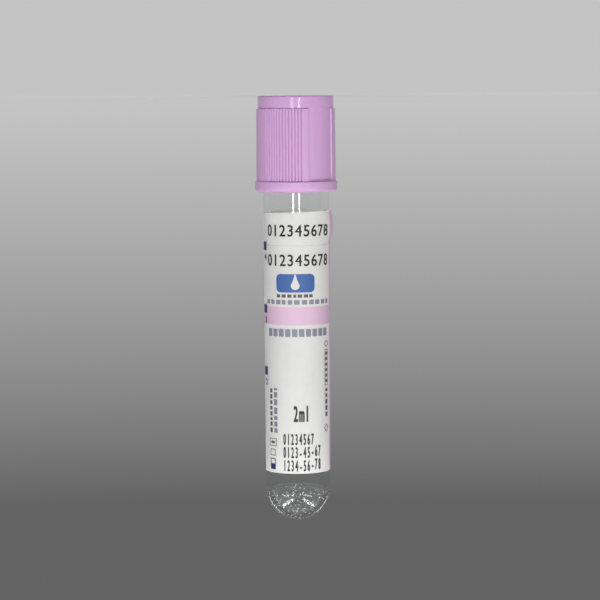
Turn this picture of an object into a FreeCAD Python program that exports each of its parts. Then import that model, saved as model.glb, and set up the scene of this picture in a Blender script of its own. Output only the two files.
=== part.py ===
"""Vacuum blood collection tube, 13 x 75 mm, with a rubber stopper inside a ribbed safety cap.

Every piece is drawn upright first: the tube's axis is +Z, its round end touches Z = 0 and the
label's front faces -Y. A round end can't stand, so at the end the whole tube is turned over
and stands on the flat rim of its cap, with the label's front still facing -Y. Lengths are in
millimetres. Angles are in degrees around the axis of the upright tube, counted from the
label's front and positive towards +X.
"""

import FreeCAD, Part
import math
import os

# Tube: one clear moulding with a slight draft and a hemispherical end
tube_length = 75.0
tube_rim_radius = 6.45
tube_draft = 0.20
tube_wall = 1.15
tube_rim_rounding = 0.25

# Stopper: a ribbed plug, a flange that seats on the rim, a neck and a head
plug_depth = 8.5
plug_clearance = 0.05
plug_lead_in = 0.6
seal_rib_count = 3
seal_rib_height = 0.25
seal_rib_width = 0.9
stopper_flange_height = 1.6
stopper_flange_gap = 0.25
ring_grip = 0.7
head_height = 1.1
head_gap = 0.5
head_rounding = 0.3
needle_well_radius = 2.6
needle_well_depth = 1.3
under_well_radius = 3.1
under_well_depth = 3.4
under_well_taper = 0.7

# Cap: a shield around the stopper and the tube's rim
skirt_overlap = 10.2
skirt_clearance = 0.10
skirt_wall = 0.85
skirt_draft = 0.08
retaining_ring_height = 0.8
retaining_ring_gap = 0.10
recess_wall = 1.2
recess_depth = 5.0
recess_mouth_bevel = 0.25
top_rounding = 0.3
band_height = 2.5
foot_overhang = 0.32
foot_height = 2.1
foot_rounding = 1.0
foot_mouth_bevel = 0.3

# Raised grip panels on the cap, each with a field of fine upright ribs
panel_count = 2
window_angle = 46.0
panel_right_edge = 19.0
panel_rise = 0.27
rib_field_right_edge = 8.0
groove_count = 13
groove_pitch = 4.65
groove_depth = 0.17
groove_half_width = 0.15

# Label: paper glued around the tube, kiss-cut into a long label and a peel-off sticker
glue_thickness = 0.02
paper_thickness = 0.07
label_right_edge = 100.0
label_bare_strip = 60.0
label_bottom = 10.0
label_gap_under_cap = 3.77
sticker_height = 6.4
kiss_cut_width = 0.06
sticker_edge_slope = 1.6
lifted_tail_length = 2.8
tail_corner_radius = 1.0

# Print: thin fields of ink on the paper
ink_gap = 0.01
ink_thickness = 0.04
border_width = 2.8
band_drop = 18.4
band_print_height = 3.9
emblem_drop = 12.0
emblem_height = 3.57
emblem_width = 7.8
emblem_corner = 0.9
emblem_angle = -2.8
drop_radius = 0.85
drop_point = 1.5
title_drop = 22.8
title_height = 1.8
title_angle = 2.0
title_mark_count = 10
title_mark_width = 1.05
title_mark_pitch = 1.36
scale_mark_drop = 5.85
scale_mark_size = 1.6
scale_mark_angle = -72.0
scale_mark_count = 3
scale_mark_pitch = 12.3

# Digits: every place in a number row is a plain nought
digit_stroke = 0.22
serial_drop = 2.6
serial_row_pitch = 5.75
serial_rows = 2
serial_count = 9
serial_height = 2.27
serial_width = 0.95
serial_pitch = 1.66
serial_angle = 5.0
batch_rise = 0.5
batch_row_pitch = 2.62
batch_rows = 3
batch_count = 9
batch_height = 2.2
batch_width = 0.62
batch_pitch = 0.82
batch_angle = 4.0

# Additive: dried spray droplets on the inner wall near the round end
droplet_count = 44
droplet_radius = 0.24
droplet_growth = 0.16
droplet_top = 7.6
droplet_sink = 0.10

# Levels and radii that follow from the sizes above
tube_end_radius = tube_rim_radius - tube_draft
inner_end_radius = tube_end_radius - tube_wall
rim_level = tube_length
flange_top_level = rim_level + stopper_flange_height
ring_top_level = flange_top_level + retaining_ring_height
head_top_level = ring_top_level + head_height
cap_top_level = head_top_level + recess_depth
cap_foot_level = rim_level - skirt_overlap
foot_top_level = cap_foot_level + foot_height
band_level = cap_top_level - band_height
skirt_bore_radius = tube_rim_radius + skirt_clearance
band_radius = skirt_bore_radius + skirt_wall
recess_radius = band_radius - recess_wall
foot_radius = band_radius + skirt_draft + panel_rise + foot_overhang
stopper_flange_radius = skirt_bore_radius - stopper_flange_gap
head_radius = recess_radius - head_gap
neck_radius = head_radius - ring_grip
ring_bore_radius = neck_radius + retaining_ring_gap
panel_angle = 360.0 / panel_count - window_angle
label_top = cap_foot_level - label_gap_under_cap
sticker_bottom = label_top - sticker_height
label_left_edge = label_right_edge - (360.0 - label_bare_strip)
ink_offset = glue_thickness + paper_thickness + ink_gap

UP = FreeCAD.Vector(0, 0, 1)
BASE = FreeCAD.Vector(0, 0, 0)


# ---------------------------------------------------------------- drawing helpers

def point(radius, level):
    """A point of a half section: radius from the axis and level along it."""
    return FreeCAD.Vector(radius, 0, level)


def line(start, end):
    return Part.LineSegment(start, end).toShape()


def outline(points):
    """The straight edges that join the points in a closed loop."""
    return [line(start, end) for start, end in zip(points, points[1:] + points[:1])]


def arc(centre, radius, from_angle, to_angle):
    """An arc of a half section, its angles counted from outwards to upwards."""
    def at(angle):
        turn = math.radians(angle)
        return centre + FreeCAD.Vector(radius * math.cos(turn), 0, radius * math.sin(turn))
    return Part.Arc(at(from_angle), at((from_angle + to_angle) / 2), at(to_angle)).toShape()


def revolved(edges, angle=360.0):
    """A solid turned about the axis from a closed half section."""
    return Part.Face(Part.Wire(edges)).revolve(BASE, UP, angle)


def turned_to(shape, angle):
    """The shape turned about the axis from the +X side to an angle counted from the front."""
    turned = shape.copy()
    turned.rotate(BASE, UP, angle - 90.0)
    return turned


def sector(points, from_angle, to_angle):
    """A half section turned between two angles counted from the front."""
    return turned_to(revolved(outline(points), to_angle - from_angle), from_angle)


# ---------------------------------------------------------------- tube

def tube_outer_radius(level):
    """Radius of the drafted outer wall, from the hemisphere's edge up to the rim."""
    share = (level - tube_end_radius) / (tube_length - tube_end_radius)
    return tube_end_radius + tube_draft * share


def tube_inner_radius(level):
    return tube_outer_radius(level) - tube_wall


def make_tube():
    end_centre = point(0, tube_end_radius)
    r = tube_rim_rounding
    shoulder = rim_level - r
    outer = tube_outer_radius(shoulder)
    inner = tube_inner_radius(shoulder)
    return revolved([
        arc(end_centre, tube_end_radius, -90, 0),
        line(point(tube_end_radius, tube_end_radius), point(outer, shoulder)),
        arc(point(outer - r, shoulder), r, 0, 90),
        line(point(outer - r, rim_level), point(inner + r, rim_level)),
        arc(point(inner + r, shoulder), r, 90, 180),
        line(point(inner, shoulder), point(inner_end_radius, tube_end_radius)),
        arc(end_centre, inner_end_radius, 0, -90),
        line(point(0, tube_wall), BASE),
    ])


# ---------------------------------------------------------------- stopper

def plug_radius(level):
    """Crown of the sealing ribs: a running clearance inside the tube's wall."""
    return tube_inner_radius(level) - plug_clearance


def make_stopper_body(core, plug_foot):
    r = head_rounding
    shoulder = head_top_level - r
    return revolved([
        line(point(0, plug_foot), point(core - plug_lead_in, plug_foot)),
        line(point(core - plug_lead_in, plug_foot), point(core, plug_foot + plug_lead_in)),
        line(point(core, plug_foot + plug_lead_in), point(core, rim_level)),
        line(point(core, rim_level), point(stopper_flange_radius, rim_level)),
        line(point(stopper_flange_radius, rim_level),
             point(stopper_flange_radius, flange_top_level)),
        line(point(stopper_flange_radius, flange_top_level),
             point(neck_radius, flange_top_level)),
        line(point(neck_radius, flange_top_level), point(neck_radius, ring_top_level)),
        line(point(neck_radius, ring_top_level), point(head_radius, ring_top_level)),
        line(point(head_radius, ring_top_level), point(head_radius, shoulder)),
        arc(point(head_radius - r, shoulder), r, 0, 90),
        line(point(head_radius - r, head_top_level), point(0, head_top_level)),
        line(point(0, head_top_level), point(0, plug_foot)),
    ])


def make_seal_rib(core, level):
    """A bulge around the plug that presses on the tube's wall."""
    low = level - seal_rib_width / 2
    high = level + seal_rib_width / 2
    inside = core - seal_rib_height
    crown = Part.Arc(point(core, low), point(plug_radius(low), level), point(core, high))
    return revolved([
        line(point(inside, low), point(core, low)),
        crown.toShape(),
        line(point(core, high), point(inside, high)),
        line(point(inside, high), point(inside, low)),
    ])


def make_stopper():
    """One rubber moulding with a well for the needle above and a hollow below."""
    plug_foot = rim_level - plug_depth
    core = plug_radius(plug_foot) - seal_rib_height
    spacing = (plug_depth - plug_lead_in) / seal_rib_count
    ribs = [make_seal_rib(core, rim_level - spacing * (n + 0.5)) for n in range(seal_rib_count)]
    needle_well = Part.makeCone(0, needle_well_radius, needle_well_depth,
                                point(0, head_top_level - needle_well_depth), UP)
    under_well = Part.makeCone(under_well_radius, under_well_radius - under_well_taper,
                               under_well_depth, point(0, plug_foot), UP)
    body = make_stopper_body(core, plug_foot).fuse(ribs)
    return body.cut([needle_well, under_well]).removeSplitter()


# ---------------------------------------------------------------- cap

def cap_outer_radius(level):
    """Radius of the cap's plain wall, which widens a little towards the foot."""
    share = (cap_top_level - level) / (cap_top_level - foot_top_level)
    return band_radius + skirt_draft * share


def panel_radius(level):
    return cap_outer_radius(level) + panel_rise


def make_shell():
    """The cap without its panels: band, wall, foot, recess and retaining ring."""
    top_shoulder = cap_top_level - top_rounding
    top_edge = cap_outer_radius(top_shoulder)
    foot_shoulder = cap_foot_level + foot_rounding
    return revolved([
        line(point(recess_radius, ring_top_level),
             point(recess_radius, cap_top_level - recess_mouth_bevel)),
        line(point(recess_radius, cap_top_level - recess_mouth_bevel),
             point(recess_radius + recess_mouth_bevel, cap_top_level)),
        line(point(recess_radius + recess_mouth_bevel, cap_top_level),
             point(top_edge - top_rounding, cap_top_level)),
        arc(point(top_edge - top_rounding, top_shoulder), top_rounding, 90, 0),
        line(point(top_edge, top_shoulder),
             point(cap_outer_radius(foot_top_level), foot_top_level)),
        line(point(cap_outer_radius(foot_top_level), foot_top_level),
             point(foot_radius, foot_top_level)),
        line(point(foot_radius, foot_top_level), point(foot_radius, foot_shoulder)),
        arc(point(foot_radius - foot_rounding, foot_shoulder), foot_rounding, 0, -90),
        line(point(foot_radius - foot_rounding, cap_foot_level),
             point(skirt_bore_radius + foot_mouth_bevel, cap_foot_level)),
        line(point(skirt_bore_radius + foot_mouth_bevel, cap_foot_level),
             point(skirt_bore_radius, cap_foot_level + foot_mouth_bevel)),
        line(point(skirt_bore_radius, cap_foot_level + foot_mouth_bevel),
             point(skirt_bore_radius, flange_top_level)),
        line(point(skirt_bore_radius, flange_top_level),
             point(ring_bore_radius, flange_top_level)),
        line(point(ring_bore_radius, flange_top_level),
             point(ring_bore_radius, ring_top_level)),
        line(point(ring_bore_radius, ring_top_level), point(recess_radius, ring_top_level)),
    ])


def make_grooves():
    """The wedges cut between a panel's ribs, each leaning with the wall's draft."""
    low = foot_top_level
    lean = point(panel_radius(band_level), band_level) - point(panel_radius(low), low)
    bottom = panel_radius(low) - groove_depth
    mouth = panel_radius(low) + groove_depth
    wedge = Part.Face(Part.Wire(outline([
        FreeCAD.Vector(bottom, 0, low),
        FreeCAD.Vector(mouth, 2 * groove_half_width, low),
        FreeCAD.Vector(mouth, -2 * groove_half_width, low),
    ]))).extrude(lean)
    return [turned_to(wedge, rib_field_right_edge - n * groove_pitch)
            for n in range(groove_count)]


def make_panel():
    """A raised grip panel, rooted in the cap's wall."""
    root = skirt_wall / 2
    panel = sector([
        point(cap_outer_radius(foot_top_level) - root, foot_top_level),
        point(panel_radius(foot_top_level), foot_top_level),
        point(panel_radius(band_level), band_level),
        point(cap_outer_radius(band_level) - root, band_level),
    ], panel_right_edge - panel_angle, panel_right_edge)
    return panel.cut(make_grooves())


def make_cap():
    """The cap as one moulding, with its panels spread evenly around it."""
    panels = []
    for n in range(panel_count):
        panel = make_panel()
        panel.rotate(BASE, UP, n * 360.0 / panel_count)
        panels.append(panel)
    return make_shell().fuse(panels).removeSplitter()


# ---------------------------------------------------------------- label

def skin(low, high, from_angle, to_angle, offset, thickness):
    """A thin sheet that follows the tube's wall between two levels and two angles."""
    return sector([
        point(tube_outer_radius(low) + offset, low),
        point(tube_outer_radius(low) + offset + thickness, low),
        point(tube_outer_radius(high) + offset + thickness, high),
        point(tube_outer_radius(high) + offset, high),
    ], from_angle, to_angle)


def angle_of(width):
    """The angle that a width takes up around the label."""
    return math.degrees(width / (tube_end_radius + ink_offset))


def make_label():
    """The long part of the paper label, below the kiss cut."""
    return skin(label_bottom, sticker_bottom - kiss_cut_width,
                label_left_edge, label_right_edge, glue_thickness, paper_thickness)


def make_lifted_tail(high):
    """The sticker's loose right end: it leaves the tube straight and has rounded corners."""
    root = tube_outer_radius(high) + glue_thickness
    tail = Part.makeBox(paper_thickness, lifted_tail_length, high - sticker_bottom,
                        point(root, sticker_bottom))
    free_corners = [edge for edge in tail.Edges
                    if edge.BoundBox.XLength > paper_thickness / 2
                    and edge.BoundBox.YMin > lifted_tail_length / 2]
    return tail.makeFillet(tail_corner_radius, free_corners)


def make_sticker():
    """The peel-off sticker: its upper edge is askew and its right end has come unstuck."""
    tail_angle = label_right_edge - angle_of(lifted_tail_length)
    stuck = skin(sticker_bottom, cap_foot_level, label_left_edge, tail_angle,
                 glue_thickness, paper_thickness)
    size = 4 * tube_rim_radius
    above = Part.makeBox(size, size, size, FreeCAD.Vector(-size / 2, -size / 2, label_top))
    above.rotate(point(0, label_top), FreeCAD.Vector(0, 1, 0), -sticker_edge_slope)
    tail_rise = tube_rim_radius * math.sin(math.radians(sticker_edge_slope))
    tail = turned_to(make_lifted_tail(label_top + tail_rise), tail_angle)
    return stuck.cut(above).fuse(tail).removeSplitter()


# ---------------------------------------------------------------- print

def ink(low, high, from_angle, to_angle):
    """A field of ink on the label between two levels and two angles."""
    return skin(low, high, from_angle, to_angle, ink_offset, ink_thickness)


def ink_block(low, height, middle_angle, width):
    """A field of ink given by its lower edge, height, middle and width."""
    half = angle_of(width) / 2
    return ink(low, low + height, middle_angle - half, middle_angle + half)


def make_scale_marks():
    """The filling scale: equal square marks down the left side."""
    lowest = label_top - scale_mark_drop - scale_mark_size
    marks = [ink_block(lowest - n * scale_mark_pitch, scale_mark_size,
                       scale_mark_angle, scale_mark_size) for n in range(scale_mark_count)]
    return Part.Compound(marks)


def make_pink_print():
    """A band around the label and a border down its right edge, bare under the scale."""
    high = label_top - band_drop
    band = ink(high - band_print_height, high, label_left_edge, label_right_edge)
    border = ink(label_bottom, sticker_bottom - kiss_cut_width,
                 label_right_edge - angle_of(border_width), label_right_edge)
    return band.fuse(border).removeSplitter().cut(make_scale_marks())


def make_drop_window():
    """A drop's outline, round below and pointed above, run out from the axis."""
    middle = label_top - emblem_drop - emblem_height / 2 - drop_point / 3
    touch = math.acos(drop_radius / (drop_radius + drop_point))
    side = drop_radius * math.sin(touch)
    shoulder = middle + drop_radius * math.cos(touch)
    left = FreeCAD.Vector(0, -side, shoulder)
    right = FreeCAD.Vector(0, side, shoulder)
    foot = point(0, middle - drop_radius)
    tip = point(0, middle + drop_radius + drop_point)
    edges = [Part.Arc(left, foot, right).toShape(), line(right, tip), line(tip, left)]
    return Part.Face(Part.Wire(edges)).extrude(point(2 * tube_rim_radius, 0))


def make_emblem():
    """A plain rounded field with a drop left bare in its middle."""
    low = label_top - emblem_drop - emblem_height
    frame = Part.makeBox(2 * tube_rim_radius, emblem_width, emblem_height,
                         FreeCAD.Vector(0, -emblem_width / 2, low))
    frame = frame.makeFillet(emblem_corner, [edge for edge in frame.Edges
                                             if edge.BoundBox.XLength > tube_rim_radius])
    field = ink_block(low, emblem_height, 0, 2 * emblem_width)
    field = field.common(turned_to(frame, 0)).cut(turned_to(make_drop_window(), 0))
    field.rotate(BASE, UP, emblem_angle)
    return field


def make_blue_print():
    """The emblem and a row of plain blocks, as separate fields."""
    low = label_top - title_drop - title_height
    fields = [make_emblem()]
    for n in range(title_mark_count):
        shift = angle_of((n - (title_mark_count - 1) / 2) * title_mark_pitch)
        fields.append(ink_block(low, title_height, title_angle + shift, title_mark_width))
    return Part.Compound(fields)


def digit_row(low, height, width, pitch, count, middle_angle):
    """A row of noughts, each the frame of one digit's place."""
    digits = []
    for n in range(count):
        middle = middle_angle + angle_of((n - (count - 1) / 2) * pitch)
        half_hole = angle_of(width / 2 - digit_stroke)
        hole = skin(low + digit_stroke, low + height - digit_stroke,
                    middle - half_hole, middle + half_hole, 0, ink_offset + 2 * ink_thickness)
        digits.append(ink_block(low, height, middle, width).cut(hole))
    return digits


def make_black_print():
    """The number rows: two wide ones near the top and three narrow ones near the foot."""
    digits = []
    for n in range(serial_rows):
        low = label_top - serial_drop - n * serial_row_pitch - serial_height
        digits += digit_row(low, serial_height, serial_width, serial_pitch,
                            serial_count, serial_angle)
    for n in range(batch_rows):
        low = label_bottom + batch_rise + n * batch_row_pitch
        digits += digit_row(low, batch_height, batch_width, batch_pitch,
                            batch_count, batch_angle)
    return Part.Compound(digits)


# ---------------------------------------------------------------- additive

def make_cavity():
    """The space inside the tube, from the round end to above the highest droplet."""
    top = droplet_top + tube_end_radius
    return revolved([
        arc(point(0, tube_end_radius), inner_end_radius, -90, 0),
        line(point(inner_end_radius, tube_end_radius), point(tube_inner_radius(top), top)),
        line(point(tube_inner_radius(top), top), point(0, top)),
        line(point(0, top), point(0, tube_wall)),
    ])


def make_droplets():
    """Dried droplets in a golden-angle spiral over the round end and the wall above it."""
    cavity = make_cavity()
    golden_angle = 180.0 * (3.0 - math.sqrt(5.0))
    droplets = []
    for n in range(droplet_count):
        level = tube_wall + (droplet_top - tube_wall) * (n + 0.5) / droplet_count
        fall = max(tube_end_radius - level, 0.0)
        out = point(math.sqrt(inner_end_radius ** 2 - fall ** 2), -fall).normalize()
        wall_radius = inner_end_radius * out.x + tube_inner_radius(level) - inner_end_radius
        size = droplet_radius + droplet_growth * (n * n % 7) / 6.0
        ball = Part.makeSphere(size, point(wall_radius, level) + out * droplet_sink)
        droplets.append(turned_to(ball.common(cavity), n * golden_angle))
    return Part.Compound(droplets)


# ---------------------------------------------------------------- rest pose

def standing_placement():
    """Turns the upright tube over onto its cap, with the cap's flat rim on Z = 0."""
    return FreeCAD.Placement(point(0, cap_top_level), FreeCAD.Rotation(FreeCAD.Vector(0, 1, 0), 180.0))


def make_parts():
    """Every piece, upright, by the name of its node."""
    return {
        "tube": make_tube(),
        "rubber_stopper": make_stopper(),
        "safety_cap": make_cap(),
        "label": make_label(),
        "peel_off_sticker": make_sticker(),
        "pink_print": make_pink_print(),
        "blue_print": make_blue_print(),
        "scale_marks": make_scale_marks(),
        "black_print": make_black_print(),
        "additive_droplets": make_droplets(),
    }


def main():
    os.makedirs("parts", exist_ok=True)
    standing = standing_placement().toMatrix()
    for name, shape in make_parts().items():
        shape.transformed(standing, True).exportStep(f"parts/{name}.step")


if __name__ == "__main__":
    main()
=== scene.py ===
"""Finished look of the blood collection tube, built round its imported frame.

Every piece is drawn upright in millimetres, with the tube's round end at the origin, its axis
along +Z and the label's front facing -Y. STAND then turns it over onto its cap, as the frame
has it, and brings it to metres. Angles on the label are degrees round the axis from its front,
positive towards +X.
"""

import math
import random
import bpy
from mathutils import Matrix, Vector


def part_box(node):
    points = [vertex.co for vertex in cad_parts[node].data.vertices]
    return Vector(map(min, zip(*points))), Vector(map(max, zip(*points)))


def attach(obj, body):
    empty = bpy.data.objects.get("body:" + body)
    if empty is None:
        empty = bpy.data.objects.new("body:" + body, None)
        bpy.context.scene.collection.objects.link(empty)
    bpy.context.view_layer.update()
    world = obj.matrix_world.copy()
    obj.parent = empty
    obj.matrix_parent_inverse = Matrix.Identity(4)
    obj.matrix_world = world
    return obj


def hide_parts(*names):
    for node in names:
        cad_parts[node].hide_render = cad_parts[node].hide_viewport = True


bl_info = {
    "name": "Blood collection tube",
    "version": (1, 0, 0),
    "blender": (4, 5, 0),
    "location": "3D View > Sidebar > Tube",
    "description": "Builds a clear vacuum tube with its stopper, ribbed cap, label and print",
    "category": "Add Mesh",
}

import bmesh
import bpy
from mathutils import Matrix, Vector

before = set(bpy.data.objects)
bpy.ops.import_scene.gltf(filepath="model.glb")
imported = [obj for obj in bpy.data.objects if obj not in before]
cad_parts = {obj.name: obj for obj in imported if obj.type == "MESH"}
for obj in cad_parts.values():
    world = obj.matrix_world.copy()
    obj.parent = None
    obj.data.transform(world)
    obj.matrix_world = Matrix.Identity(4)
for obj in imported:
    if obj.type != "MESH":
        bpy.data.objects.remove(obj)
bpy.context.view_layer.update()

MM = 0.001
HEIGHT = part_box("tube")[1].z / MM
STAND = (Matrix.Translation((0, 0, HEIGHT * MM)) @ Matrix.Rotation(math.pi, 4, "Y")
         @ Matrix.Scale(MM, 4))

CAP_STEPS = 928        # faces round the cap, many enough for its grooves
GROOVE_STEPS = 12      # and of those, from one groove to the next
FLANGE_TOP = 1.6       # above the tube's rim: where the stopper's flange ends,
NECK_TOP = 2.4         # and its neck, which the cap's ring grips
NECK_RADIUS = 5.0
SHEET_RADIUS = 6.35    # lengths across the label's sheet are arcs at this radius
FIGURE_HEIGHT = 0.7    # height of a figure in the built-in font, where its size is 1
TAIL_CORNER = 1.0      # rounding of the sticker's loose end
CUT_WIDTH = 0.05       # width of the cut between the label and the sticker
INK_GAP = 0.008        # under the ink, so that it never shares a face with the paper
INK_TOP = 0.03         # over the paper
STRIP = 0.3            # width of the flat strips that paper bends in
FINE_STRIP = 0.25      # and of those that fine print bends in


# ---------- sizes and colours

def size(name, description, default):
    """A length that a user can change, given in millimetres."""
    return bpy.props.FloatProperty(name=name, description=description, default=default * MM,
                                   min=0.0, subtype="DISTANCE", unit="LENGTH", precision=5)


def turn(name, description, default):
    """An angle that a user can change, given in degrees."""
    return bpy.props.FloatProperty(name=name, description=description,
                                   default=math.radians(default), subtype="ANGLE")


def colour(name, description, hex_value):
    """A colour that a user can change, given as an sRGB hex value."""
    return bpy.props.FloatVectorProperty(name=name, description=description, size=3, min=0.0,
                                         max=1.0, subtype="COLOR", default=linear(hex_value))


def linear(hex_value):
    """An sRGB hex colour as linear values."""
    parts = [int(hex_value[i:i + 2], 16) / 255 for i in (0, 2, 4)]
    return tuple(c / 12.92 if c <= 0.04045 else ((c + 0.055) / 1.055) ** 2.4 for c in parts)


class TubeSizes(bpy.types.PropertyGroup):
    length: size("Length", "Round end to rim", 75.0)
    rim_radius: size("Rim radius", "Outside the wall at the rim", 6.45)
    end_radius: size("End radius", "Outside the wall at the round end", 6.25)
    wall: size("Wall", "Thickness of the wall", 1.15)


class CapSizes(bpy.types.PropertyGroup):
    foot_level: size("Foot level", "Height of the cap's foot above the round end", 64.8)
    foot_height: size("Foot height", "Height of the wide foot", 2.1)
    foot_radius: size("Foot radius", "Outside of the wide foot", 8.07)
    band_radius: size("Band radius", "Outside of the smooth band at the top", 7.40)
    band_height: size("Band height", "Height of the smooth band", 2.5)
    bore_radius: size("Bore radius", "Inside of the skirt", 6.55)
    recess_radius: size("Recess radius", "Inside of the open top", 6.2)
    rise: size("Rise", "Height of the cap's top above the tube's rim", 8.5)
    panel_rise: size("Panel rise", "How far the grip panels stand out", 0.27)
    groove_depth: size("Groove depth", "Depth of the grooves between the ribs", 0.25)
    groove_pitch: turn("Groove pitch", "Angle from one groove to the next",
                       360 * GROOVE_STEPS / CAP_STEPS)


class LabelSizes(bpy.types.PropertyGroup):
    bottom: size("Bottom", "Height of the label's lower edge", 10.0)
    sticker_bottom: size("Cut", "Height of the cut under the sticker", 54.63)
    top: size("Top", "Height of the label's upper edge at its front", 61.03)
    glue: size("Glue", "Thickness of the glue", 0.02)
    paper: size("Paper", "Thickness of the paper", 0.07)
    band_bottom: size("Band bottom", "Height of the pink band's lower edge", 39.1)
    band_top: size("Band top", "Height of the pink band's upper edge", 42.65)
    border: size("Border", "Width of the pink border on the label", 2.8)
    sticker_border: size("Sticker's border", "Width of the pink border on the sticker", 3.0)
    left: turn("Left edge", "Angle of the label's left edge", -200.0)
    right: turn("Right edge", "Angle of the label's right edge", 100.0)


class Colours(bpy.types.PropertyGroup):
    tube: colour("Tube", "Clear polyester", "FAFBFB")
    salt: colour("Droplets", "Dried additive", "F9F9F8")
    cap: colour("Cap", "Moulded cap", "CDA2D0")
    stopper: colour("Stopper", "Butyl rubber", "8E8A90")
    paper: colour("Paper", "Coated label paper", "FBF7ED")
    pink: colour("Pink ink", "Band and border", "D6B5CD")
    blue: colour("Blue ink", "Emblem", "335D9E")
    navy: colour("Navy ink", "Filling scale and small blue lines", "0D1C5C")
    black: colour("Black ink", "Numbers and small lines", "0C0C0D")


def chosen(group):
    """A group's sizes as plain numbers, its lengths in millimetres and its angles in radians."""
    sizes = getattr(bpy.context.scene, group)
    return {key: getattr(sizes, key) / (1 if key in ("left", "right", "groove_pitch") else MM)
            for key in sizes.__annotations__}


# ---------- mesh helpers

def add_section(bm, corners):
    """Draws a half section as a ring of edges. Each corner is radius, level and rounding.

    Each straight run gets a vertex near both its ends, so that its faces shade flat.
    """
    verts = [bm.verts.new((r, 0.0, z)) for r, z, _ in corners]
    for a, b in zip(verts, verts[1:] + verts[:1]):
        bm.edges.new((a, b))
    for vert, (_, _, rounding) in zip(verts, corners):
        if rounding:
            ways = [(e.other_vert(vert).co - vert.co).normalized() for e in vert.link_edges]
            offset = rounding / math.tan(ways[0].angle(ways[1]) / 2)
            bmesh.ops.bevel(bm, geom=[vert], offset=offset, offset_type="OFFSET",
                            segments=16 if rounding > 2 else 5, profile=0.5,
                            affect="VERTICES", material=-1)
    bmesh.ops.remove_doubles(bm, verts=bm.verts[:], dist=1e-4)
    for edge in [e for e in bm.edges if e.calc_length() > 0.5]:
        hold = 0.05 / edge.calc_length()
        far = bmesh.utils.edge_split(edge, edge.verts[0], hold)[1]
        rest = next(e for e in far.link_edges if e.calc_length() > 0.4)
        bmesh.utils.edge_split(rest, rest.other_vert(far), hold)


def cut_level(bm, level):
    """Divides the section's edges at a level."""
    bmesh.ops.bisect_plane(bm, geom=bm.verts[:] + bm.edges[:] + bm.faces[:], dist=1e-5,
                           plane_co=(0, 0, level), plane_no=(0, 0, 1))


def join_up(bm):
    """Merges points that meet and turns all faces outwards."""
    bmesh.ops.remove_doubles(bm, verts=bm.verts[:], dist=1e-4)
    bmesh.ops.recalc_face_normals(bm, faces=bm.faces[:])


def spin_section(bm, steps):
    """Turns the half section all the way round the axis."""
    bmesh.ops.spin(bm, geom=bm.verts[:] + bm.edges[:], cent=(0, 0, 0), axis=(0, 0, 1),
                   angle=2 * math.pi, steps=steps, use_merge=True, use_duplicate=False)
    join_up(bm)


def spin_finely(bm, steps):
    """Turns the half section round in eighths, which is far quicker for many steps."""
    bmesh.ops.spin(bm, geom=bm.verts[:] + bm.edges[:], cent=(0, 0, 0), axis=(0, 0, 1),
                   angle=math.pi / 4, steps=steps // 8, use_merge=False, use_duplicate=False)
    for angle in (math.pi / 4, math.pi / 2, math.pi):
        copy = bmesh.ops.duplicate(bm, geom=bm.verts[:] + bm.edges[:] + bm.faces[:])["geom"]
        bmesh.ops.rotate(bm, verts=[v for v in copy if isinstance(v, bmesh.types.BMVert)],
                         cent=(0, 0, 0), matrix=Matrix.Rotation(angle, 3, "Z"))
    join_up(bm)


def add_bar(bm, left, right, low, high, rounding=0.0, segments=4):
    """A flat field on the label's sheet. Returns its points, or none if it is rounded."""
    made = bmesh.ops.create_grid(bm, x_segments=1, y_segments=1, size=0.5)["verts"]
    bmesh.ops.scale(bm, verts=made, vec=(right - left, high - low, 1))
    bmesh.ops.translate(bm, verts=made, vec=((left + right) / 2, (low + high) / 2, 0))
    if rounding:
        bmesh.ops.bevel(bm, geom=made, offset=rounding, offset_type="OFFSET",
                        segments=segments, profile=0.5, affect="VERTICES", material=-1)
        return []
    return made


def hollow(bm, made, line):
    """Leaves only the outline of a flat shape, as wide as the line."""
    face = made[0].link_faces[0]
    bmesh.ops.inset_region(bm, faces=[face], thickness=line, use_even_offset=True,
                           use_boundary=True)
    bmesh.ops.delete(bm, geom=[face], context="FACES")


def add_frame(bm, left, right, low, high, line):
    """The outline of a box on the label's sheet."""
    hollow(bm, add_bar(bm, left, right, low, high), line)


def add_ring(bm, middle, level, radius, line, sides=28):
    """The outline of a circle on the label's sheet, or of a shape with fewer sides."""
    made = bmesh.ops.create_circle(bm, cap_ends=True, radius=radius, segments=sides,
                                   matrix=Matrix.Translation((middle, level, 0)))["verts"]
    hollow(bm, made, line)


def embolden(bm, amount):
    """Moves the outline of a flat shape outwards, square to its edges."""
    ways = {}
    for edge in bm.edges:
        if not edge.is_boundary:
            continue
        a, b = edge.verts
        way = (b.co - a.co).cross(Vector((0, 0, 1))).normalized()
        if way.dot(a.co - edge.link_faces[0].calc_center_median()) < 0:
            way = -way
        for vert in (a, b):
            ways.setdefault(vert, []).append(way)
    for vert, found in ways.items():
        if len(found) == 2:
            first, second = found
            vert.co += (first + second) * amount / max(1 + first.dot(second), 0.5)


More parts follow.
